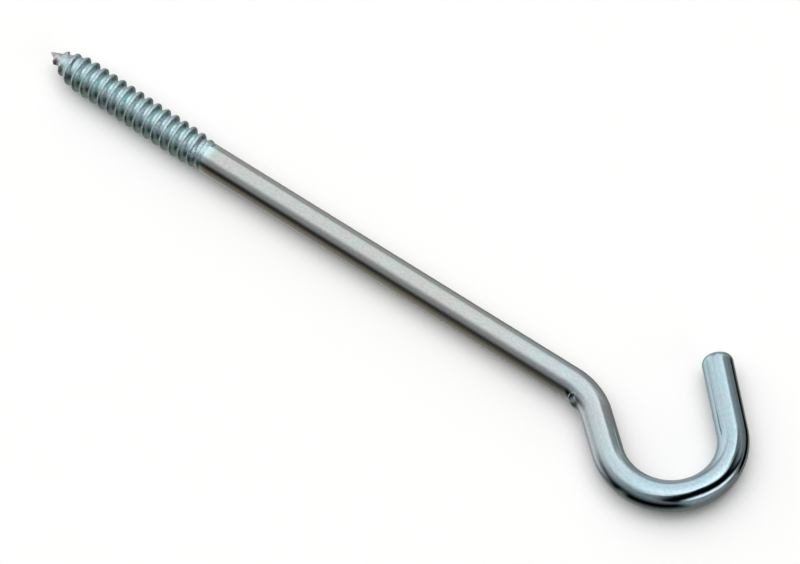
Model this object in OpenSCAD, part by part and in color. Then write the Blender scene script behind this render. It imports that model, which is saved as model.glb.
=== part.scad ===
// Screw hook: one length of round steel wire. One end is rolled into a coarse
// right-hand wood thread with a gimlet point, the other is bent back under the
// shank and up into an open round hook.
//
// Millimetres. The hook lies flat: +X runs along the shank from the thread to the
// hook, +Y is the side the hook opens to, and +Z stands off the plane of the bends.
// The origin is on the shank's axis, where the thread runs out.

/* [Wire] */
// Diameter of the plain wire
wire_d = 7.94; // [7.6:0.02:8.4]
// Plain straight shank, from the thread's run-out to the first bend
shank_l = 111.5; // [30:0.5:200]

/* [Thread] */
// Diameter over the crests
crest_d = 9.45; // [8.8:0.05:10.4]
// Diameter at the roots
root_d = 7.2; // [6.4:0.1:7.4]
// Distance from one turn to the next
pitch = 2.89; // [2.4:0.01:3.4]
// Length from the tip of the point to the run-out
thread_l = 51.5; // [30:0.5:90]
// Width of the rounded crest, as a share of the pitch
crest_share = 0.4; // [0.3:0.02:0.5]
// Width of the rounded root, as a share of the pitch
root_share = 0.27; // [0.14:0.02:0.4]
// Turn of the whole thread about its axis, in degrees
thread_turn = 350; // [0:1:359]
// Lean of the threaded end towards the open side of the hook, in degrees
thread_lean = 1.7; // [0:0.1:4]

/* [Point] */
// Diameter of the blunt tip
tip_d = 0.3; // [0.2:0.1:0.8]
// Angle between opposite sides of the point's core, in degrees
point_angle = 50; // [40:1:70]
// Distance from the tip at which the crests reach their full diameter
crest_rise_l = 12; // [8:0.5:16]
// Offset of the tip from the thread's axis
tip_offset = 0.4; // [0:0.1:0.8]

/* [Hook] */
// Centre-line radius of the first bend, which takes the wire under the shank
first_bend_r = 15.5; // [12:0.5:24]
// Angle of the first bend, in degrees
first_bend_angle = 40.8; // [25:0.2:55]
// Straight wire between the two bends
neck_l = 11.1; // [2:0.1:25]
// Inside diameter of the round hook
hook_id = 23.2; // [16:0.2:36]
// Angle that the round hook turns through, in degrees
hook_angle = 175.3; // [150:0.1:190]
// Straight leg after the round, up to the blunt end
leg_l = 21.4; // [6:0.1:30]
// Radius of the well rounded edge of the blunt end
end_edge_r = 2.2; // [0.4:0.1:3]

/* [Mark of the bending pin] */
// Distance along the first bend to the nick, as a turn in degrees
nick_turn = 11.5; // [6:0.1:20]
// Angle from the top of the wire, round its inner side, to the nick
nick_lean = 61; // [40:1:90]
// Diameter of the pin's corner that left the nick
nick_d = 1.8; // [1:0.1:2.4]
// Depth of the nick
nick_depth = 0.4; // [0.2:0.05:0.6]
// Turn from the nick to the steel that it pushed up
swell_turn = 6; // [5:0.5:12]
// Height of the steel pushed up
swell_h = 0.4; // [0.1:0.05:0.5]

/* [Hidden] */
$fn = 96;

zinc = [0.72, 0.79, 0.81];
wire_r = wire_d / 2;
hook_r = (hook_id + wire_d) / 2;

// The thread is a sleeve of triangles. Its rows follow the helix, so every crest is
// a clean edge: row i climbs one step for each step round the axis.
turn_steps = 30;
step_l = pitch / turn_steps;
end_step = round((thread_l + 0.6) / step_l);
sleeve_l = end_step * step_l;
// Places of the rows within one pitch, in steps from the middle of the crest
crest_step = round(crest_share * turn_steps / 2);
crest_mid = round(crest_step / 2);
root_step = turn_steps / 2 - round(root_share * turn_steps / 2);
rising_steps = [0, crest_mid, crest_step, root_step];
row_steps = concat(rising_steps, [turn_steps / 2],
                   [for (i = [3 : -1 : 1]) turn_steps - rising_steps[i]]);
// Height of each of those rows, from 0 at the root to 1 at the crest
row_heights = [1, 0.91, 0.64, 0.08, 0, 0.08, 0.64, 0.91];
turn_rows = len(row_steps);
sleeve_rows = turn_rows * (ceil(end_step / turn_steps) + 2);
// Lengths over which the last crests and the last root come to the plain wire
crest_fade_l = 8;
root_fade_l = 2.2;
// Stretch of the point in which the first crest rises out of the core
first_crest = [1.5, 2.1];
// The sleeve's end is a little thinner than the wire, to seat inside the shank
seat_r = wire_r - 0.08;
// Roundness of the steel pushed up by the pin, and how far round from the nick it lies
swell_r = 2.6;
swell_lean = 30;
// Bends are this much fuller than the straights, whose ends lap into them
bend_swell = 0.04;
lap = 0.1;

function clamp01(t) = min(1, max(0, t));
function smooth(t) = let (c = clamp01(t)) c * c * (3 - 2 * c);
function mix(a, b, t) = a + (b - a) * t;

// Radius of the core and of the crests, s from the tip
function core_r(s) =
    let (cone = tip_d / 2 + s * tan(point_angle / 2),
         body = mix(root_d / 2, seat_r, smooth((s - thread_l + root_fade_l) / root_fade_l)))
    min(cone, body);
function crest_r(s) =
    let (rise = 1 - clamp01(1 - s / crest_rise_l) ^ 2,
         fade = clamp01((s - thread_l + crest_fade_l) / crest_fade_l) ^ 2,
         start = smooth((s - first_crest[0]) / (first_crest[1] - first_crest[0])),
         full = mix(crest_d * 0.08, crest_d / 2, rise))
    mix(core_r(s), mix(full, seat_r, fade), start);

// Steps along the axis of row i in column j, and the height of row i
function steps_at(i, j) =
    min(end_step, max(0, (floor(i / turn_rows) - 1) * turn_steps + row_steps[i % turn_rows] + j));
function sleeve_point(steps, j, h) =
    let (s = steps * step_l,
         r = mix(core_r(s), max(core_r(s), crest_r(s)), h),
         a = 360 * j / turn_steps,
         bent = tip_offset * (1 - clamp01(s / crest_rise_l)) ^ 2)
    [r * cos(a), r * sin(a), s, bent];
function turned(p, a) =
    [p[0] * cos(a) - p[1] * sin(a), p[0] * sin(a) + p[1] * cos(a) + p[3], p[2]];

// Rows that run past an end share the points of that end's ring
function point_id(i, j) =
    j == turn_steps ? point_id(i + turn_rows, 0)
    : steps_at(i, j) == 0 ? j
    : steps_at(i, j) == end_step ? turn_steps + j
    : (2 + i) * turn_steps + j;

module threaded_end() {
    columns = [0 : turn_steps - 1];
    points = concat(
        [for (j = columns) turned(sleeve_point(0, j, 0), thread_turn)],
        [for (j = columns) turned(sleeve_point(end_step, j, 0), thread_turn)],
        [for (i = [0 : sleeve_rows - 1], j = columns)
            turned(sleeve_point(steps_at(i, j), j, row_heights[i % turn_rows]), thread_turn)]);
    sides = [for (i = [0 : sleeve_rows - turn_rows - 2], j = columns)
        let (a = point_id(i, j), b = point_id(i, j + 1),
             c = point_id(i + 1, j + 1), d = point_id(i + 1, j))
        for (t = [[a, c, b], [a, d, c]])
            if (t[0] != t[1] && t[1] != t[2] && t[2] != t[0]) t];
    caps = [[for (j = columns) j],
            [for (j = columns) 2 * turn_steps - 1 - j]];
    rotate([0, 0, -thread_lean])
        translate([-thread_l, 0, 0])
            rotate([0, 90, 0])
                polyhedron(points, concat(caps, sides));
}

// Straight wire along +X, from start to end
module straight(start, end) {
    translate([start, 0, 0])
        rotate([0, 90, 0])
            cylinder(r = wire_r, h = end - start);
}

// Bend from the origin, starting along +X: side is 1 to turn left, -1 to turn right
module bend(r, angle, side) {
    translate([0, side * r, 0])
        rotate_extrude(angle = angle, start = side > 0 ? -90 : 90 - angle)
            translate([r, 0])
                circle(r = wire_r + bend_swell);
}

// Move what follows to the end of a bend, or along a straight
module after_bend(r, angle, side) {
    translate([r * sin(angle), side * r * (1 - cos(angle)), 0])
        rotate([0, 0, side * angle])
            children();
}
module after_straight(l) {
    translate([l, 0, 0])
        children();
}

// Leg, whose sheared end was rounded over before plating
module leg() {
    core_w = wire_r - end_edge_r;
    side_l = leg_l - end_edge_r;
    translate([-lap, 0, 0])
        rotate([0, 90, 0])
            rotate_extrude() {
                square([wire_r, side_l + lap]);
                square([core_w, leg_l + lap]);
                translate([core_w, side_l + lap])
                    intersection() {
                        circle(r = end_edge_r);
                        square(end_edge_r);
                    }
            }
}

// Put something on the surface of the first bend
module on_first_bend(turn, lean) {
    translate([0, -first_bend_r, 0])
        rotate([0, 0, -turn])
            translate([0, first_bend_r, 0])
                rotate([lean, 0, 0])
                    translate([0, 0, wire_r])
                        children();
}

// First bend, nipped on its inner side by the pin that it was bent round
module first_bend() {
    difference() {
        union() {
            bend(first_bend_r, first_bend_angle, -1);
            on_first_bend(nick_turn + swell_turn, nick_lean + swell_lean)
                translate([0, 0, swell_h - swell_r])
                    sphere(r = swell_r);
        }
        on_first_bend(nick_turn, nick_lean)
            translate([0, 0, nick_d / 2 - nick_depth])
                sphere(d = nick_d);
    }
}

module screw_hook() {
    color(zinc) {
        threaded_end();
        straight(0, shank_l + lap);
        after_straight(shank_l) {
            first_bend();
            after_bend(first_bend_r, first_bend_angle, -1) {
                straight(-lap, neck_l + lap);
                after_straight(neck_l) {
                    bend(hook_r, hook_angle, 1);
                    after_bend(hook_r, hook_angle, 1)
                        leg();
                }
            }
        }
    }
}

screw_hook();
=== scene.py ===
"""Screw hook: one length of zinc-plated steel wire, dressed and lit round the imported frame.

The wire is one continuous skin. One end is rolled into a coarse wood thread with a gimlet
point. Then come the plain shank, the first bend, the neck, the round hook and a short leg
with a blunt, rounded end.
"""
import logging
import math
from dataclasses import dataclass, field
from enum import Enum

import bpy
import numpy as np
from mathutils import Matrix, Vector, noise


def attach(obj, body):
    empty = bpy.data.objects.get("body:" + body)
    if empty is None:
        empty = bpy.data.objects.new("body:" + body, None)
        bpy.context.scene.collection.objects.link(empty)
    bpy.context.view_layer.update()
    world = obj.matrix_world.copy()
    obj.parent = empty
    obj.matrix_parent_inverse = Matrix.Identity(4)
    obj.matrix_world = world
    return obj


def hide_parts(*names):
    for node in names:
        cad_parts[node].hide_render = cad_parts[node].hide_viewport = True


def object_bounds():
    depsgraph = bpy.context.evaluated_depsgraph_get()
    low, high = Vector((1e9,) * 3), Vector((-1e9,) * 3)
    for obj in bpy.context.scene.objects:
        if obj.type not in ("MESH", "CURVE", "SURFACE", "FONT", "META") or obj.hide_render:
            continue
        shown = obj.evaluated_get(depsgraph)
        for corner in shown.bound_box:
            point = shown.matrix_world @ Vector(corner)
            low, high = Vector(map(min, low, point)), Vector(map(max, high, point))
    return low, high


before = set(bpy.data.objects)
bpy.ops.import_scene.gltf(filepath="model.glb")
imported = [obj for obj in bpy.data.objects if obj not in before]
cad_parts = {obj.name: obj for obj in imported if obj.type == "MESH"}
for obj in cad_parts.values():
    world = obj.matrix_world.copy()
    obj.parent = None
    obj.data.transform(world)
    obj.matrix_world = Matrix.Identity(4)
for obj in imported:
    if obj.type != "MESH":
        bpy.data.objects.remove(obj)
CAD_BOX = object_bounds()

NODE = "screw_hook"
MM = 0.001
LOG = logging.getLogger("screw_hook")

# Diameter of the plain wire, in millimetres
WIRE_D = 7.94
# Nearly all of a noise node's values lie between these
NOISE_LOW, NOISE_HIGH = 0.3, 0.7
# Sockets of a Mix node that mixes colours
MIX_SHARE, MIX_UNDER, MIX_OVER, MIX_RESULT = 0, 6, 7, 2


def smooth(value: np.ndarray, start: float = 0.0, end: float = 1.0) -> np.ndarray:
    """Ease from 0 to 1 as a value goes from start to end.

    Args:
        value: where to read the ease; outside start and end it is held.
        start: value at which the ease is 0.
        end: value at which it is 1.

    Returns:
        The eased value, with level ends.
    """
    held = np.clip((value - start) / (end - start), 0.0, 1.0)
    return held * held * (3.0 - 2.0 * held)


def mix(low: np.ndarray, high: np.ndarray, share: np.ndarray) -> np.ndarray:
    """Return the value that lies a share of the way from low to high."""
    return low + (high - low) * share


def grain(points: np.ndarray, size: float, seed: float = 0.0) -> np.ndarray:
    """Read smooth noise at many points.

    Args:
        points: rows of three coordinates in millimetres.
        size: width of one lump of the noise in millimetres.
        seed: offset that gives another pattern.

    Returns:
        One number from about -1 to 1 for each row.
    """
    shift = Vector((seed, 2.0 * seed, 3.0 * seed))
    rows = points.reshape(-1, 3) / size
    values = [noise.noise(Vector(row) + shift) for row in rows]
    return np.array(values).reshape(points.shape[:-1])


def linear(colour: str, level: float = 1.0) -> tuple[float, float, float, float]:
    """Turn an sRGB hex colour to linear values.

    Args:
        colour: the colour as "#RRGGBB".
        level: brightness that the linear colour is multiplied by.

    Returns:
        Red, green, blue and an alpha of 1.
    """
    parts = [int(colour[i : i + 2], 16) / 255.0 for i in (1, 3, 5)]
    red, green, blue = [
        part / 12.92 if part <= 0.04045 else ((part + 0.055) / 1.055) ** 2.4 for part in parts
    ]
    return level * red, level * green, level * blue, 1.0


class Turn(Enum):
    """Side to which a bend takes the wire, seen from above."""

    LEFT = 1.0
    RIGHT = -1.0
    NONE = 0.0


@dataclass
class Run:
    """One stretch of the wire: a straight, or a bend of one radius."""

    length: float
    radius: float = math.inf
    side: Turn = Turn.NONE

    @classmethod
    def bend(cls, radius: float, angle: float, side: Turn) -> "Run":
        """Return a bend of a centre-line radius in millimetres through an angle in degrees."""
        return cls(radius * math.radians(angle), radius, side)

    @property
    def curvature(self) -> float:
        """Signed curvature of the stretch, in radians to the left per millimetre."""
        return self.side.value / self.radius

    def way(self, along: np.ndarray, heading: float) -> np.ndarray:
        """Find the way from the stretch's start to places on it.

        Args:
            along: how far along the stretch each place lies.
            heading: heading of the wire at the stretch's start, in radians.

        Returns:
            Rows of x and y, measured from the stretch's start.
        """
        if self.side is Turn.NONE:
            return np.stack([along * math.cos(heading), along * math.sin(heading)], axis=-1)
        turned = heading + along * self.curvature
        east = (np.sin(turned) - math.sin(heading)) / self.curvature
        north = (math.cos(heading) - np.cos(turned)) / self.curvature
        return np.stack([east, north], axis=-1)


@dataclass
class WirePath:
    """Centre line of the wire in the frame's own plane, in millimetres.

    Distances run along the wire from the thread's run-out, and are negative on the thread.
    """

    shank_l: float = 111.5
    first_bend_r: float = 15.5
    first_bend_angle: float = 40.8
    neck_l: float = 11.1
    hook_id: float = 23.2
    hook_angle: float = 175.3
    leg_l: float = 21.4
    thread_lean: float = 1.7

    def runs(self) -> list[Run]:
        """List the stretches that the wire is made of.

        Returns:
            The stretches in order, from the thread's run-out.
        """
        return [
            Run(self.shank_l),
            Run.bend(self.first_bend_r, self.first_bend_angle, Turn.RIGHT),
            Run(self.neck_l),
            Run.bend((self.hook_id + WIRE_D) / 2, self.hook_angle, Turn.LEFT),
            Run(self.leg_l),
        ]

    @property
    def length(self) -> float:
        """Length of the wire from the thread's run-out to the blunt end."""
        return sum(run.length for run in self.runs())

    def place(self, distance: np.ndarray) -> tuple[np.ndarray, np.ndarray]:
        """Find places on the centre line.

        Args:
            distance: how far along the wire each place lies.

        Returns:
            The places as rows of x and y, and the heading of the wire at each, in radians.
        """
        lean = -math.radians(self.thread_lean)
        place = np.stack([distance * math.cos(lean), distance * math.sin(lean)], axis=-1)
        heading = np.full(distance.shape, lean)
        start, start_place, start_heading = 0.0, np.zeros(2), 0.0
        for run in self.runs():
            along = distance - start
            ahead = along >= 0.0
            here = start_place + run.way(along, start_heading)
            place = np.where(ahead[..., None], here, place)
            heading = np.where(ahead, start_heading + along * run.curvature, heading)
            start_place = start_place + run.way(np.array([run.length]), start_heading)[0]
            start_heading += run.length * run.curvature
            start += run.length
        return place, heading


@dataclass
class WoodThread:
    """Coarse right-hand wood thread, rolled into the wire, with a gimlet point.

    Heights are measured from the tip of the point, in millimetres. The two sides of a crest
    are pairs of a place, as a share of the pitch from the middle of the crest, and a height,
    from 0 at the root to 1 at the crest. A span is a stretch of heights in which something
    fades, and a share is a part of the thread's depth.
    """

    length: float = 51.5
    pitch: float = 2.89
    crest_d: float = 9.44
    root_d: float = 7.2
    start_turn: float = 350.0
    tip_d: float = 0.3
    tip_rise: float = 0.06
    tip_offset: float = 0.4
    point_angle: float = 50.0
    first_crest: tuple[float, float] = (1.5, 2.1)
    first_crest_share: float = 0.08
    crest_rise_l: float = 12.0
    crest_fade_l: float = 8.0
    root_fade_l: float = 2.2
    leading: tuple[tuple[float, float], ...] = (
        (0.0, 1.0), (0.1, 0.96), (0.2, 0.84), (0.26, 0.64), (0.3, 0.08), (0.4, 0.02), (0.5, 0.0)
    )
    trailing: tuple[tuple[float, float], ...] = (
        (0.0, 1.0), (0.1, 0.91), (0.2, 0.64), (0.36, 0.07), (0.5, 0.0)
    )
    edge_round: float = 0.03
    edge_steps: int = 7
    ragged_span: tuple[float, float] = (3.0, 12.0)
    ragged_size: float = 1.1
    ragged_share: float = 0.4
    thinned: float = 1.6
    broken_span: tuple[float, float] = (4.5, 7.0)
    broken_share: float = 0.8
    uneven_size: float = 2.3
    uneven_share: float = 0.035
    uneven_seed: float = 7.0
    grain_r: float = 4.0

    def core(self, height: np.ndarray) -> np.ndarray:
        """Find the radius at the roots.

        Args:
            height: distance from the tip.

        Returns:
            The radius in millimetres.
        """
        cone = self.tip_d / 2 + height * math.tan(math.radians(self.point_angle / 2))
        fade = smooth(height, self.length - self.root_fade_l, self.length)
        return np.minimum(cone, mix(self.root_d / 2, WIRE_D / 2, fade))

    def crest(self, height: np.ndarray) -> np.ndarray:
        """Find the radius over the crests.

        Args:
            height: distance from the tip.

        Returns:
            The radius in millimetres.
        """
        rise = 1.0 - np.clip(1.0 - height / self.crest_rise_l, 0.0, 1.0) ** 2
        fade = np.clip((height - self.length + self.crest_fade_l) / self.crest_fade_l, 0, 1) ** 2
        risen = mix(self.first_crest_share * self.crest_d, self.crest_d / 2, rise)
        ended = mix(risen, WIRE_D / 2, fade)
        return mix(self.core(height), ended, smooth(height, *self.first_crest))

    def form(self, phase: np.ndarray) -> np.ndarray:
        """Find the thread's form, with its edges rounded.

        Args:
            phase: place within a pitch, 0 at the middle of a crest.

        Returns:
            The form, 0 at a root and 1 at a crest.
        """
        spread = np.linspace(-self.edge_round, self.edge_round, self.edge_steps)
        way = (phase[..., None] + spread + 0.5) % 1.0 - 0.5
        ahead = np.interp(-way, *zip(*self.leading))
        behind = np.interp(way, *zip(*self.trailing))
        return np.where(way < 0.0, ahead, behind).mean(axis=-1)

    def radius(self, height: np.ndarray, phase: np.ndarray, angle: np.ndarray) -> np.ndarray:
        """Find the radius of the threaded surface.

        Near the tip the crests are thinned, ragged and broken away on two sides.

        Args:
            height: distance from the tip.
            phase: place within a pitch, 0 at the middle of a crest.
            angle: angle about the axis, in radians.

        Returns:
            The radius in millimetres.
        """
        near_tip = 1.0 - smooth(height, *self.ragged_span)
        broken = 1.0 - smooth(height, *self.broken_span)
        form = self.form(phase) ** (1.0 + self.thinned * near_tip)
        form = form * (1.0 - self.broken_share * broken * np.cos(angle) ** 2)
        spot = np.stack([self.grain_r * np.cos(angle), self.grain_r * np.sin(angle), height], axis=-1)
        ragged = self.ragged_share * near_tip * grain(spot, self.ragged_size)
        uneven = self.uneven_share * grain(spot, self.uneven_size, self.uneven_seed)
        core = self.core(height)
        crest = np.maximum(core, self.crest(height))
        return mix(core, crest, form * (1.0 + ragged + uneven))


@dataclass
class ToolMark:
    """Mark of the bending pin on the inside of the first bend.

    The pin left a nick, steep where it bit in and shallow where it slid on, a thin rim thrown
    up round the steep side, and a swelling of the steel that it pushed ahead. Sizes are in
    millimetres. The nick's angle is in degrees, measured round the wire from straight down.
    The swelling and the scuff are placed from the nick, along the wire and then round it. The scuff
    makes the plate rougher, as the pin dulled it, and darker, which is painted shade of the nick and
    the swelling.
    """

    distance: float = 115.6
    angle: float = 247.0
    nick_depth: float = 0.26
    nick_steep: float = 0.75
    nick_slide: float = 1.2
    nick_w: float = 0.7
    rim_r: float = 1.15
    rim_w: float = 0.26
    rim_height: float = 0.1
    swell_at: tuple[float, float] = (0.9, 1.7)
    swell_size: tuple[float, float] = (1.9, 1.4)
    swell_height: float = 0.6
    scuff_and_shade_at: tuple[float, float] = (0.9, 0.85)
    scuff_and_shade_size: tuple[float, float] = (1.9, 1.3)

    def lift(self, distance: np.ndarray, angle: np.ndarray) -> np.ndarray:
        """Find how far the mark lifts the surface.

        Args:
            distance: place along the wire.
            angle: angle about the wire, in radians.

        Returns:
            The lift in millimetres, below 0 in the nick.
        """
        along, around = self._from_nick(distance, angle)
        reach = np.where(along < 0.0, self.nick_steep, self.nick_slide)
        nick = self.nick_depth * np.exp(-((along / reach) ** 2) - (around / self.nick_w) ** 2)
        ring = np.exp(-(((np.hypot(along, around) - self.rim_r) / self.rim_w) ** 2))
        steep_side = smooth(0.5 - (along + around) / (2.0 * self.rim_r))
        swell_along = (along - self.swell_at[0]) / self.swell_size[0]
        swell_around = (around - self.swell_at[1]) / self.swell_size[1]
        swell = self.swell_height * np.exp(-(swell_along**2) - swell_around**2)
        return swell + self.rim_height * ring * steep_side - nick

    def scuff_and_shade(self, distance: np.ndarray, angle: np.ndarray) -> np.ndarray:
        """Find how far the pin dulled the surface, which also sets the painted shade there.

        Args:
            distance: place along the wire.
            angle: angle about the wire, in radians.

        Returns:
            The dullness and the painted shade, from 0 to 1.
        """
        along, around = self._from_nick(distance, angle)
        along = (along - self.scuff_and_shade_at[0]) / self.scuff_and_shade_size[0]
        around = (around - self.scuff_and_shade_at[1]) / self.scuff_and_shade_size[1]
        return np.exp(-((along**2 + around**2) ** 2))

    def _from_nick(
        self, distance: np.ndarray, angle: np.ndarray
    ) -> tuple[np.ndarray, np.ndarray]:
        """Return how far places lie from the nick, along the wire and round it."""
        turned = (angle - math.radians(self.angle) + math.pi) % math.tau - math.pi
        return distance - self.distance, turned * WIRE_D / 2


@dataclass
class Patch:
    """Part of the skin: points, their places on the straightened wire, and faces."""

    points: np.ndarray
    flat: np.ndarray
    faces: list[tuple[int, ...]]


@dataclass
class HookSkin:
    """The whole wire as one closed skin, from the tip of the thread to the blunt end.

    Rings stand a ring_gap apart on the plain wire, and a fine_gap apart from fine_before the
    mark to fine_after it, in millimetres. Lifts under least_lift are left out.
    """

    path: WirePath = field(default_factory=WirePath)
    thread: WoodThread = field(default_factory=WoodThread)
    mark: ToolMark = field(default_factory=ToolMark)
    columns: int = 96
    rows_per_turn: int = 32
    ring_gap: float = 1.1
    fine_gap: float = 0.16
    fine_before: float = 3.5
    fine_after: float = 7.0
    least_lift: float = 1e-5
    end_edge_r: float = 2.2
    end_rings: int = 8

    def angles(self) -> np.ndarray:
        """Return the angle of each column of points, measured from straight down."""
        turn = math.radians(self.thread.start_turn)
        return math.tau * np.arange(self.columns) / self.columns + turn

    def points(self, distance: np.ndarray, radius: np.ndarray, angle: np.ndarray) -> np.ndarray:
        """Place surface points round the centre line.

        Args:
            distance: place along the wire.
            radius: distance from the centre line.
            angle: angle about the wire from straight down, in radians.

        Returns:
            Points in millimetres.
        """
        place, heading = self.path.place(distance)
        aside = radius * np.sin(angle)
        tip = np.clip(1.0 - (distance + self.thread.length) / self.thread.crest_rise_l, 0.0, 1.0)
        aside = aside + self.thread.tip_offset * tip**2
        east = place[..., 0] - aside * np.sin(heading)
        north = place[..., 1] + aside * np.cos(heading)
        return np.stack([east, north, -radius * np.cos(angle)], axis=-1)

    def centre(self, distance: float) -> np.ndarray:
        """Return the one point in the middle of the wire at a distance along it."""
        return self.points(np.array([distance]), np.zeros(1), np.zeros(1))

    @staticmethod
    def straightened(
        distance: np.ndarray, radius: np.ndarray, angle: np.ndarray
    ) -> np.ndarray:
        """Find where surface points would lie if the wire were straight, for the finish.

        Args:
            distance: place along the wire.
            radius: distance from the centre line.
            angle: angle about the wire from straight down, in radians.

        Returns:
            Points in millimetres, with z along the wire.
        """
        return np.stack([radius * np.sin(angle), -radius * np.cos(angle), distance], axis=-1)

    def build(self) -> bpy.types.Object:
        """Build the skin's mesh and dress it.

        Returns:
            The skin's object.
        """
        thread = self._threaded_end()
        wire = self._plain_wire(len(thread.points))
        points = np.concatenate([thread.points, wire.points]) * MM
        mesh = bpy.data.meshes.new("screw_hook_skin")
        mesh.from_pydata(points.tolist(), [], thread.faces + wire.faces)
        mesh.validate()
        mesh.polygons.foreach_set("use_smooth", [True] * len(mesh.polygons))
        self._guide_finish(mesh, np.concatenate([thread.flat, wire.flat]))
        for finish in (DRAWN_ZINC, ROLLED_ZINC):
            mesh.materials.append(finish.material())
        finishes = [1] * len(thread.faces) + [0] * len(wire.faces)
        mesh.polygons.foreach_set("material_index", finishes)
        skin = bpy.data.objects.new("screw_hook_skin", mesh)
        bpy.context.scene.collection.objects.link(skin)
        return skin

    def _guide_finish(self, mesh: bpy.types.Mesh, flat: np.ndarray) -> None:
        """Store what the finish needs to know at each point.

        Args:
            mesh: the skin's mesh.
            flat: the points' places on the straightened wire.
        """
        _, heading = self.path.place(flat[:, 2])
        ways = np.stack([np.cos(heading), np.sin(heading), np.zeros(len(heading))], axis=-1)
        # Dulls the plate at the pin mark, and darkens its colour there as painted shade.
        scuff_and_shade = self.mark.scuff_and_shade(flat[:, 2], np.arctan2(flat[:, 0], -flat[:, 1]))
        for name, kind, key, rows in (
            ("straightened", "FLOAT_VECTOR", "vector", flat),
            ("along_wire", "FLOAT_VECTOR", "vector", ways),
            ("scuffed_and_shaded", "FLOAT", "value", scuff_and_shade),
        ):
            layer = mesh.attributes.new(name, kind, "POINT")
            layer.data.foreach_set(key, rows.astype(np.float32).ravel())

    def _threaded_end(self) -> Patch:
        """Build the threaded end.

        Its rows climb one pitch in each turn, so that every crest is a clean edge. Rows that
        run past an end share the points of that end's ring.

        Returns:
            The threaded end, whose last points are the ring where the thread runs out.
        """
        thread, columns, per_turn = self.thread, self.columns, self.rows_per_turn
        rows = per_turn * (math.ceil(thread.length / thread.pitch) + 2)
        row = np.arange(rows)[:, None]
        column = np.arange(columns)[None, :]
        angle = np.broadcast_to(self.angles(), (rows, columns))
        climb = (row / per_turn - 1.0 + column / columns) * thread.pitch
        height = np.clip(climb, 0.0, thread.length)
        phase = np.broadcast_to((row % per_turn) / per_turn, height.shape)
        radius = thread.radius(height, phase, angle)
        radius = np.where(height >= thread.length, WIRE_D / 2, radius)
        radius = np.where(height <= 0.0, thread.tip_d / 2, radius)
        tip_ring, end_ring = rows * columns, (rows + 1) * columns
        index = row * columns + column
        index = np.where(climb <= 0.0, tip_ring + column, index)
        index = np.where(climb >= thread.length, end_ring + column, index)
        for ring_height, ring_r in ((0.0, thread.tip_d / 2), (thread.length, WIRE_D / 2)):
            angle = np.vstack([angle, self.angles()])
            radius = np.vstack([radius, np.full(columns, ring_r)])
            height = np.vstack([height, np.full(columns, ring_height)])
        distance = height - thread.length
        points = self.points(distance, radius, angle).reshape(-1, 3)
        flat = self.straightened(distance, radius, angle).reshape(-1, 3)
        wrapped = np.hstack([index[:-per_turn], index[per_turn:, :1]])
        corners = [wrapped[:-1, :-1], wrapped[:-1, 1:], wrapped[1:, 1:], wrapped[1:, :-1]]
        quads = np.stack(corners, axis=-1).reshape(-1, 4)[:, ::-1].tolist()
        shrunk = [tuple(dict.fromkeys(quad)) for quad in quads]
        tip = len(points)
        fan = [(tip_ring + (j + 1) % columns, tip_ring + j, tip) for j in range(columns)]
        faces = [face for face in shrunk if len(face) > 2] + fan
        points = np.vstack([points, self.centre(-thread.length - thread.tip_rise)])
        flat = np.vstack([flat, [[0.0, 0.0, -thread.length]]])
        return self._compact(Patch(points, flat, faces), end_ring)

    def _compact(self, patch: Patch, end_ring: int) -> Patch:
        """Drop unused points and put the ring where the thread runs out last.

        Args:
            patch: the threaded end with all its points.
            end_ring: number of the run-out ring's first point.

        Returns:
            The threaded end with the points that its faces use.
        """
        last = np.arange(end_ring, end_ring + self.columns)
        corners = np.concatenate([np.array(face) for face in patch.faces])
        order = np.concatenate([np.setdiff1d(np.unique(corners), last), last])
        number = np.zeros(len(patch.points), dtype=int)
        number[order] = np.arange(len(order))
        faces = [tuple(int(number[corner]) for corner in face) for face in patch.faces]
        return Patch(patch.points[order], patch.flat[order], faces)

    def stations(self) -> tuple[np.ndarray, np.ndarray]:
        """Space the plain wire's rings, closer at the mark and at the blunt end.

        Returns:
            The place along the wire and the radius of each ring.
        """
        mark_from = self.mark.distance - self.fine_before
        mark_to = self.mark.distance + self.fine_after
        stop = self.path.length - self.end_edge_r
        parts = []
        for low, high, gap in (
            (0.0, mark_from, self.ring_gap),
            (mark_from, mark_to, self.fine_gap),
            (mark_to, stop, self.ring_gap),
        ):
            count = max(1, round((high - low) / gap))
            parts.append(np.linspace(low, high, count, endpoint=False))
        along = np.concatenate(parts)[1:]
        edge = np.linspace(0.0, math.pi / 2, 2 * self.end_rings)
        edge_along = stop + self.end_edge_r * np.sin(edge)
        edge_r = WIRE_D / 2 - self.end_edge_r * (1.0 - np.cos(edge))
        face_r = edge_r[-1] * np.linspace(1.0, 0.0, self.end_rings + 1)[1:-1]
        face_along = np.full(len(face_r), self.path.length)
        radii = np.concatenate([np.full(len(along), WIRE_D / 2), edge_r, face_r])
        return np.concatenate([along, edge_along, face_along]), radii

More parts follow.
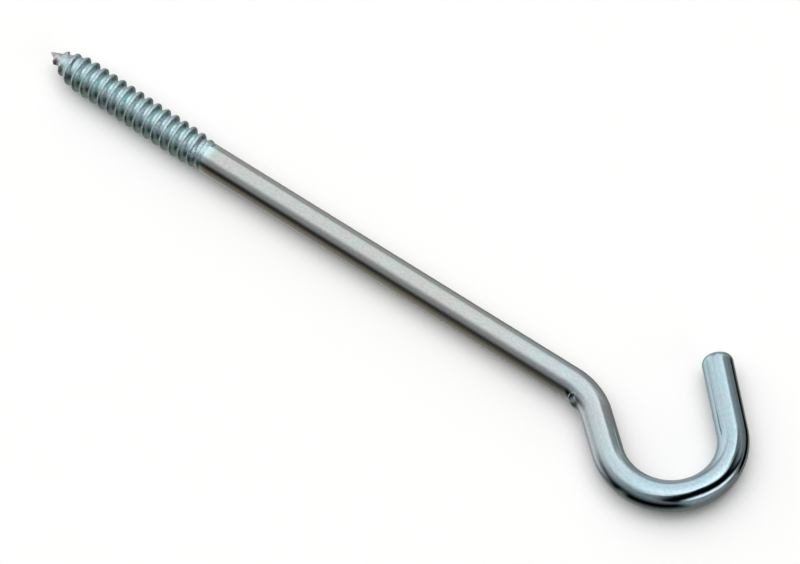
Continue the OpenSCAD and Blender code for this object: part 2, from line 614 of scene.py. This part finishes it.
    def _plain_wire(self, first: int) -> Patch:
        """Build the rest of the wire, up to the middle of the blunt end.

        Args:
            first: number of the first new point; the run-out ring ends just before it.

        Returns:
            The plain wire, whose faces start at the run-out ring.
        """
        along, radii = self.stations()
        rings = len(along)
        angle = np.broadcast_to(self.angles(), (rings, self.columns))
        distance = np.broadcast_to(along[:, None], angle.shape)
        lift = self.mark.lift(distance, angle)
        radius = radii[:, None] + np.where(np.abs(lift) > self.least_lift, lift, 0.0)
        points = self.points(distance, radius, angle).reshape(-1, 3)
        flat = self.straightened(distance, radius, angle).reshape(-1, 3)
        start = first - self.columns
        index = start + np.arange((rings + 1) * self.columns).reshape(rings + 1, self.columns)
        after = np.roll(index, -1, axis=1)
        corners = [index[:-1], after[:-1], after[1:], index[1:]]
        quads = np.stack(corners, axis=-1).reshape(-1, 4)[:, ::-1].tolist()
        middle = first + len(points)
        fan = [(here, beside, middle) for here, beside in zip(index[-1].tolist(), after[-1].tolist())]
        points = np.vstack([points, self.centre(self.path.length)])
        flat = np.vstack([flat, [[0.0, 0.0, self.path.length]]])
        return Patch(points, flat, [tuple(quad) for quad in quads] + fan)


class NodeTree:
    """A material's or the world's nodes, cleared and ready to be built."""

    def __init__(self, owner: bpy.types.Material | bpy.types.World) -> None:
        """Clear the owner's nodes.

        Args:
            owner: the material or the world.
        """
        owner.use_nodes = True
        self.nodes = owner.node_tree.nodes
        self.links = owner.node_tree.links
        self.nodes.clear()

    def add(
        self,
        kind: str,
        inputs: dict[str | int, object] | None = None,
        **settings: object,
    ) -> bpy.types.Node:
        """Add one node.

        Args:
            kind: the node's type name.
            inputs: values or output sockets for its inputs, by name or number.
            **settings: the node's own settings.

        Returns:
            The new node.
        """
        node = self.nodes.new(kind)
        for name, value in settings.items():
            setattr(node, name, value)
        for name, value in (inputs or {}).items():
            if isinstance(value, bpy.types.NodeSocket):
                self.links.new(value, node.inputs[name])
            else:
                node.inputs[name].default_value = value
        return node


@dataclass(frozen=True)
class Mottle:
    """Soft lumps on the wire, of a real size in millimetres and drawn out along it."""

    size: float
    stretch: float = 1.0
    detail: float = 2.0

    def lumps(self, tree: NodeTree, spot: bpy.types.NodeSocket) -> bpy.types.NodeSocket:
        """Lay the lumps over the wire.

        Args:
            tree: nodes of the finish.
            spot: place on the straightened wire, in millimetres.

        Returns:
            The lumps' height, from 0 to 1.
        """
        scale = (1.0, 1.0, 1.0 / self.stretch)
        scaled = tree.add("ShaderNodeVectorMath", {0: spot, 1: scale}, operation="MULTIPLY")
        inputs = {
            "Vector": scaled.outputs["Vector"],
            "Scale": 1.0 / self.size,
            "Detail": self.detail,
        }
        return tree.add("ShaderNodeTexNoise", inputs).outputs["Fac"]


@dataclass(frozen=True)
class ZincPlate:
    """Bright zinc plate with a clear blue passivation, on one stretch of the steel wire.

    The plate is a mirror that follows the steel under it. The film over it is thin, and
    thicker on the thread and the hook, which look bluer than the shank. At the point it has
    worn to bare grey. Each tint goes with a place along the wire, in millimetres.
    """

    name: str
    roughness: float
    anisotropy: float
    lines: Mottle
    line_depth_mm: float
    pits: Mottle
    pit_depth_mm: float
    speck_shade: float
    specks: Mottle = Mottle(0.45, stretch=2.0, detail=3.0)
    clouds: Mottle = Mottle(2.0, stretch=3.0, detail=4.0)
    cloud_change: float = 0.25
    film_clouds: Mottle = Mottle(5.0)
    film_span: tuple[float, float] = (0.36, 0.64)
    film: tuple[str, str] = ("#FDF8F9", "#F6FEFC")
    # Colour laid over the pin mark: painted shade of the nick and the swelling.
    scuff_and_shade: str = "#C4CBCC"
    scuff_roughness: float = 0.3
    tints: tuple[tuple[float, str], ...] = (
        (-49.5, "#EDE3E8"),
        (-44.5, "#DDFBFF"),
        (0.0, "#DDFBFF"),
        (2.2, "#C9CDCB"),
        (84.0, "#C9CDCB"),
        (110.0, "#C7D2D6"),
        (130.0, "#C7D2D6"),
        (146.0, "#BCD4DE"),
    )

    def material(self) -> bpy.types.Material:
        """Build the finish.

        Returns:
            The finish as a material.
        """
        made = bpy.data.materials.new(self.name)
        tree = NodeTree(made)
        spot = tree.add("ShaderNodeAttribute", attribute_name="straightened").outputs["Vector"]
        scuffed_and_shaded = tree.add("ShaderNodeAttribute", attribute_name="scuffed_and_shaded").outputs["Fac"]
        along_wire = tree.add("ShaderNodeAttribute", attribute_name="along_wire")
        tangent = tree.add(
            "ShaderNodeVectorTransform",
            {"Vector": along_wire.outputs["Vector"]},
            vector_type="VECTOR",
            convert_from="OBJECT",
            convert_to="WORLD",
        )
        shader = tree.add(
            "ShaderNodeBsdfPrincipled",
            {
                "Base Color": self._colour(tree, spot, scuffed_and_shaded),
                "Roughness": self._roughness(tree, spot, scuffed_and_shaded),
                "Normal": self._bump(tree, spot),
                "Metallic": 1.0,
                "Anisotropic": self.anisotropy,
                "Tangent": tangent.outputs["Vector"],
            },
        )
        tree.add("ShaderNodeOutputMaterial", {"Surface": shader.outputs["BSDF"]})
        return made

    def _colour(
        self, tree: NodeTree, spot: bpy.types.NodeSocket, scuffed_and_shaded: bpy.types.NodeSocket
    ) -> bpy.types.NodeSocket:
        """Build the plate's colour, which changes along the wire and in small patches, and is
        darkened at the pin mark as painted shade.

        Args:
            tree: nodes of the finish.
            spot: place on the straightened wire, in millimetres.
            scuffed_and_shaded: how far the bending pin dulled the plate, and how far painted shade
                darkens it.

        Returns:
            The colour.
        """
        first, last = self.tints[0][0], self.tints[-1][0]
        along = tree.add("ShaderNodeSeparateXYZ", {0: spot}).outputs["Z"]
        inputs = {"Value": along, "From Min": first, "From Max": last}
        share = tree.add("ShaderNodeMapRange", inputs).outputs["Result"]
        base = tree.add("ShaderNodeValToRGB", {"Fac": share})
        stops = base.color_ramp.elements
        for distance, colour in self.tints[1:-1]:
            stops.new((distance - first) / (last - first)).color = linear(colour)
        stops[0].color, stops[-1].color = linear(self.tints[0][1]), linear(self.tints[-1][1])
        film = tree.add("ShaderNodeValToRGB", {"Fac": self.film_clouds.lumps(tree, spot)})
        for end, position, colour in zip(film.color_ramp.elements, self.film_span, self.film):
            end.position, end.color = position, linear(colour)
        inputs = {
            "Value": self.specks.lumps(tree, spot),
            "From Min": NOISE_LOW,
            "From Max": NOISE_HIGH,
            "To Min": 1.0 - self.speck_shade,
        }
        shade = tree.add("ShaderNodeMapRange", inputs).outputs["Result"]
        grey = tree.add("ShaderNodeCombineColor", {i: shade for i in range(3)})
        # Painted shade: the colour is pulled towards the scuff colour at the pin mark.
        inputs = {MIX_SHARE: scuffed_and_shaded, MIX_UNDER: linear("#FFFFFF"), MIX_OVER: linear(self.scuff_and_shade)}
        painted_shade = tree.add("ShaderNodeMix", inputs, data_type="RGBA")
        colour = base.outputs["Color"]
        for layer in (film.outputs["Color"], grey.outputs["Color"], painted_shade.outputs[MIX_RESULT]):
            inputs = {MIX_SHARE: 1.0, MIX_UNDER: colour, MIX_OVER: layer}
            tinted = tree.add("ShaderNodeMix", inputs, data_type="RGBA", blend_type="MULTIPLY")
            colour = tinted.outputs[MIX_RESULT]
        return colour

    def _roughness(
        self, tree: NodeTree, spot: bpy.types.NodeSocket, scuffed_and_shaded: bpy.types.NodeSocket
    ) -> bpy.types.NodeSocket:
        """Build the roughness: a small cloudy change everywhere, and dull where scuffed.

        Args:
            tree: nodes of the finish.
            spot: place on the straightened wire, in millimetres.
            scuffed_and_shaded: how far the bending pin dulled the plate.

        Returns:
            The roughness.
        """
        inputs = {
            "Value": self.clouds.lumps(tree, spot),
            "From Min": NOISE_LOW,
            "From Max": NOISE_HIGH,
            "To Min": (1.0 - self.cloud_change) * self.roughness,
            "To Max": (1.0 + self.cloud_change) * self.roughness,
        }
        even = tree.add("ShaderNodeMapRange", inputs).outputs["Result"]
        inputs = {0: scuffed_and_shaded, 1: self.scuff_roughness, 2: even}
        return tree.add("ShaderNodeMath", inputs, operation="MULTIPLY_ADD").outputs[0]

    def _bump(self, tree: NodeTree, spot: bpy.types.NodeSocket) -> bpy.types.NodeSocket:
        """Build the normal of a surface with fine lines and pits.

        Args:
            tree: nodes of the finish.
            spot: place on the straightened wire, in millimetres.

        Returns:
            The normal.
        """
        lines = {"Height": self.lines.lumps(tree, spot), "Distance": self.line_depth_mm * MM}
        pits = {"Height": self.pits.lumps(tree, spot), "Distance": self.pit_depth_mm * MM}
        pits["Normal"] = tree.add("ShaderNodeBump", lines).outputs["Normal"]
        return tree.add("ShaderNodeBump", pits).outputs["Normal"]


# Cold-drawn wire: smooth and bright, with faint lines along it. The lines are drawn wider
# apart than the real hundredths of a millimetre, so that they show.
DRAWN_ZINC = ZincPlate(
    name="drawn_zinc_plate",
    roughness=0.1,
    anisotropy=0.0,
    lines=Mottle(0.22, stretch=9.0),
    line_depth_mm=0.004,
    pits=Mottle(0.8),
    pit_depth_mm=0.006,
    speck_shade=0.15,
)
# Rolled thread: the dies leave scuffs round the turns, which spread reflections along the
# wire and keep them sharp round it, and small pits in the crests.
ROLLED_ZINC = ZincPlate(
    name="rolled_zinc_plate",
    roughness=0.37,
    anisotropy=0.4,
    lines=Mottle(0.3, stretch=0.6),
    line_depth_mm=0.006,
    pits=Mottle(0.35),
    pit_depth_mm=0.03,
    speck_shade=0.4,
    film_clouds=Mottle(2.5),
    film=("#FBF0F6", "#EEFDF8"),
)


@dataclass(frozen=True)
class MattCard:
    """Matt white card, which the hook lies on."""

    name: str
    fibre_mm: float
    detail: float
    tones: tuple[str, str]

    def material(self) -> bpy.types.Material:
        """Build the finish.

        Returns:
            The finish as a material.
        """
        made = bpy.data.materials.new(self.name)
        tree = NodeTree(made)
        spot = tree.add("ShaderNodeTexCoord").outputs["Object"]
        inputs = {"Vector": spot, "Scale": 1.0 / (self.fibre_mm * MM), "Detail": self.detail}
        fibre = tree.add("ShaderNodeTexNoise", inputs)
        tone = tree.add("ShaderNodeValToRGB", {"Fac": fibre.outputs["Fac"]})
        for end, colour in zip(tone.color_ramp.elements, self.tones):
            end.color = linear(colour)
        shader = tree.add("ShaderNodeBsdfDiffuse", {"Color": tone.outputs["Color"]})
        tree.add("ShaderNodeOutputMaterial", {"Surface": shader.outputs["BSDF"]})
        return made


# Uncoated card, pressed smooth: matt, with a very faint cloud of fibres. The clouds are drawn
# a little over a millimetre wide, coarser than the fibres, which are too fine to show.
WHITE_CARD = MattCard(
    name="matt_white_card",
    fibre_mm=1.11,
    detail=2.0,
    tones=("#F9F9F8", "#FCFCFB"),
)


@dataclass(frozen=True)
class Panel:
    """One soft-edged panel of the surroundings, bright like a soft box or dark like a flag.

    Directions are from the hook, with azimuth clockwise from the far side, in degrees. Its
    sides fade over the first of its edges, and its top and foot over the second.
    """

    name: str
    azimuth: float
    elevation: float
    half_width: float
    half_height: float
    turn: float
    edges: tuple[float, float]
    level: float
    colour: str = "#FFFFFF"

    def axes(self, far: float) -> tuple[Vector, Vector, Vector]:
        """Find how the panel stands.

        Args:
            far: azimuth of the far side in the frame, anticlockwise from +X, in degrees.

        Returns:
            The panel's direction, and the directions of its width and of its height.
        """
        a = math.radians(far - self.azimuth)
        e, t = math.radians(self.elevation), math.radians(self.turn)
        middle = Vector((math.cos(e) * math.cos(a), math.cos(e) * math.sin(a), math.sin(e)))
        right = Vector((math.sin(a), -math.cos(a), 0.0))
        up = right.cross(middle)
        across = math.cos(t) * right + math.sin(t) * up
        upright = math.cos(t) * up - math.sin(t) * right
        return middle, across, upright


# What the plate mirrors. These values come from a least-squares fit to the light and dark
# bands along the real wire, made by a separate script, and were then only lightly rounded.
# The names say where each panel lies, seen from the hook, and not what really stood there.
PANELS = (
    Panel("bright, nearly overhead", 35, 75, 44, 28, -70, (60, 10), 1.5),
    Panel("bright, on the left", -70, 5, 36, 38, -48, (60, 20), 1.1),
    Panel("bright, high on the far side", -20, 53, 43, 22, -38, (30, 30), 1.1),
    Panel("dim, on the right", 82, 21, 33, 41, 0, (14, 7), 0.2),
    Panel("bright strip at the near right", 140, 24, 43, 7, 20, (20, 12), 1.6),
    Panel("dark, high on the near side", 166, 45, 27, 15, -56, (8, 17), 0.0),
    Panel("dark, high on the right", 97, 42, 35, 21, 43, (12, 5), 0.0),
    Panel("dark, low on the near side", -155, -16, 43, 29, -10, (17, 49), 0.0),
    Panel("dark, low on the right", 71, -19, 21, 13, 0, (5, 5), 0.0),
    Panel("grey, low on the far side", -10, -30, 18, 57, -30, (8, 19), 0.5),
    Panel("warm, low on the left", -113, -55, 5, 50, 20, (10, 10), 0.3, "#FFF2DC"),
    Panel("dark, level on the left", -107, -4, 31, 19, 30, (48, 54), 0.0),
    Panel("dim, at the far right", 60, 30, 10, 23, 68, (26, 14), 0.35),
    Panel("bright spot, high on the right", 79, 63, 7, 6, -20, (14, 16), 1.9),
)


@dataclass
class Studio:
    """Camera, pale floor and the soft surroundings that the plate mirrors.

    The camera's place and lens were fitted to the real hook's outline. Its aim and distance
    are in millimetres, and the floor and the lamp are in metres. The surroundings have three
    levels of brightness: at the horizon, high up and low down. The last two are reached where
    the direction looked in rises to high_at, or falls to low_at.
    """

    azimuth: float = 35.74
    elevation: float = 59.5
    distance: float = 1243.6
    aim: tuple[float, float, float] = (60.6, -1.3, 0.0)
    focal_mm: float = 225.0
    clip_end: float = 100.0
    floor_r: float = 8.0
    floor_sides: int = 64
    lamp_w: float = 35.5
    lamp_side: float = 4.0
    lamp_height: float = 2.2
    horizon: float = 0.39
    high: float = 0.3
    high_at: float = 0.8
    low: float = 0.25
    low_at: float = -0.6
    ground: str = "#FFF8E7"
    panels: tuple[Panel, ...] = PANELS

    def camera(self) -> None:
        """Add the camera and make it the scene's."""
        data = bpy.data.cameras.new("camera")
        data.lens = self.focal_mm
        data.clip_end = self.clip_end
        camera = bpy.data.objects.new("camera", data)
        a, e = math.radians(self.azimuth), math.radians(self.elevation)
        back = Vector((math.sin(a) * math.cos(e), -math.cos(a) * math.cos(e), math.sin(e)))
        camera.location = (Vector(self.aim) + back * self.distance) * MM
        camera.rotation_euler = (-back).to_track_quat("-Z", "Y").to_euler()
        bpy.context.scene.collection.objects.link(camera)
        bpy.context.scene.camera = camera

    def floor(self) -> bpy.types.Object:
        """Add the floor just under the wire. The plate doesn't mirror it.

        Returns:
            The floor.
        """
        turn = [math.tau * i / self.floor_sides for i in range(self.floor_sides)]
        rim = [(self.floor_r * math.cos(t), self.floor_r * math.sin(t), 0.0) for t in turn]
        mesh = bpy.data.meshes.new("floor")
        mesh.from_pydata(rim, [], [tuple(range(self.floor_sides))])
        mesh.materials.append(WHITE_CARD.material())
        floor = bpy.data.objects.new("floor", mesh)
        floor.location.z = CAD_BOX[0].z
        floor.visible_glossy = False
        bpy.context.scene.collection.objects.link(floor)
        return floor

    def lamp(self) -> None:
        """Add the broad overhead lamp, which the plate doesn't mirror."""
        data = bpy.data.lights.new("overhead", "AREA")
        data.size = self.lamp_side
        data.energy = self.lamp_w
        lamp = bpy.data.objects.new("overhead", data)
        lamp.location.z = self.lamp_height
        lamp.visible_glossy = False
        bpy.context.scene.collection.objects.link(lamp)

    def surroundings(self) -> None:
        """Build the world from a vertical gradient and the panels laid over it."""
        world = bpy.data.worlds.new("studio")
        bpy.context.scene.world = world
        tree = NodeTree(world)
        way = tree.add("ShaderNodeTexCoord").outputs["Generated"]
        height = tree.add("ShaderNodeSeparateXYZ", {0: way}).outputs["Z"]
        layers = []
        for name, full, colour in (
            ("above the horizon", self.high_at, linear("#FFFFFF", self.high)),
            ("below the horizon", self.low_at, linear(self.ground, self.low)),
        ):
            inputs = {"Value": height, "From Min": 0.0, "From Max": full}
            share = tree.add("ShaderNodeMapRange", inputs, interpolation_type="SMOOTHSTEP")
            layers.append((name, share.outputs["Result"], colour))
        for panel in self.panels:
            share = self._share(tree, way, panel)
            layers.append((panel.name, share, linear(panel.colour, panel.level)))
        light = linear("#FFFFFF", self.horizon)
        for name, share, colour in layers:
            inputs = {MIX_SHARE: share, MIX_UNDER: light, MIX_OVER: colour}
            laid = tree.add("ShaderNodeMix", inputs, data_type="RGBA", label=name)
            light = laid.outputs[MIX_RESULT]
        glow = tree.add("ShaderNodeBackground", {"Color": light, "Strength": 1.0})
        tree.add("ShaderNodeOutputWorld", {"Surface": glow.outputs["Background"]})

    def _share(
        self, tree: NodeTree, way: bpy.types.NodeSocket, panel: Panel
    ) -> bpy.types.NodeSocket:
        """Build a panel's outline with its soft edges.

        Args:
            tree: nodes of the world.
            way: direction looked in.
            panel: the panel.

        Returns:
            How much of the panel shows in each direction, from 0 to 1.
        """
        depth, across, upright = [
            tree.add("ShaderNodeVectorMath", {0: way, 1: axis}, operation="DOT_PRODUCT")
            for axis in panel.axes(90.0 + self.azimuth)
        ]
        shares = []
        for offset, half, fade in (
            (across, panel.half_width, panel.edges[0]),
            (upright, panel.half_height, panel.edges[1]),
        ):
            inputs = {0: offset.outputs["Value"]}
            aside = tree.add("ShaderNodeMath", inputs, operation="ABSOLUTE")
            inputs = {0: aside.outputs[0], 1: depth.outputs["Value"]}
            swing = tree.add("ShaderNodeMath", inputs, operation="ARCTAN2")
            edge, soft = math.radians(half), math.radians(fade) / 2
            inputs = {"Value": swing.outputs[0], "From Min": edge + soft, "From Max": edge - soft}
            share = tree.add("ShaderNodeMapRange", inputs, interpolation_type="SMOOTHSTEP")
            shares.append(share.outputs["Result"])
        return tree.add("ShaderNodeMath", dict(enumerate(shares)), operation="MULTIPLY").outputs[0]


def main() -> None:
    """Build the studio and the hook in order, and log the number of panels and the skin's faces."""
    logging.basicConfig(level=logging.INFO, format="%(name)s: %(message)s")
    studio = Studio()
    studio.camera()
    studio.floor()
    studio.lamp()
    studio.surroundings()
    bpy.context.scene.view_settings.view_transform = "Standard"
    LOG.info("studio ready, with %d panels round it", len(studio.panels))

    skin = HookSkin().build()
    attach(skin, "root")
    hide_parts(NODE)
    LOG.info("%s: %d faces", skin.name, len(skin.data.polygons))

    LOG.info("size written")


if __name__ == "__main__":
    main()
